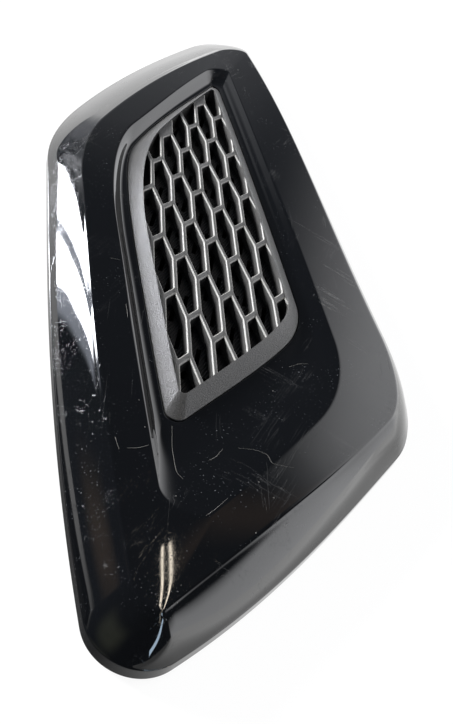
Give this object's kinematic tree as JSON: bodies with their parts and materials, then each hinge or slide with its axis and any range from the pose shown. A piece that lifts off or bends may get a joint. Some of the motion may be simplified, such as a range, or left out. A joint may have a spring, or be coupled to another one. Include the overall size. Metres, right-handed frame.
{
  "type": "hood vent grille",
  "caption": "Blade-shaped vehicle hood vent: a gloss surround with bevelled edges around a raised matt hexagonal mesh grille, with a backing screen and a rim seal.",
  "frame": {"origin": "middle of the vent's outline, on the seat of its rim", "axes": "+Z is the outward normal of the hood panel, +Y runs along the two long sides towards the narrow top end, +X to the right seen from outside"},
  "size_m": [0.1104, 0.3192, 0.0149],
  "materials": {
    "gloss_surround": "high gloss black, moulded",
    "matt_grille": "grained satin grey, moulded",
    "dark_screen": "matt black, moulded",
    "foam_seal": "closed-cell foam, cut",
    "screw_steel": "zinc plated"
  },
  "bodies": {
    "root": {"surround": "gloss_surround", "grille_insert": "matt_grille", "backing_screen": "dark_screen", "rim_seal": "foam_seal", "grille_screw_1": "screw_steel", "grille_screw_2": "screw_steel", "grille_screw_3": "screw_steel", "grille_screw_4": "screw_steel", "grille_screw_5": "screw_steel", "grille_screw_6": "screw_steel"}
  },
  "joints": []
}
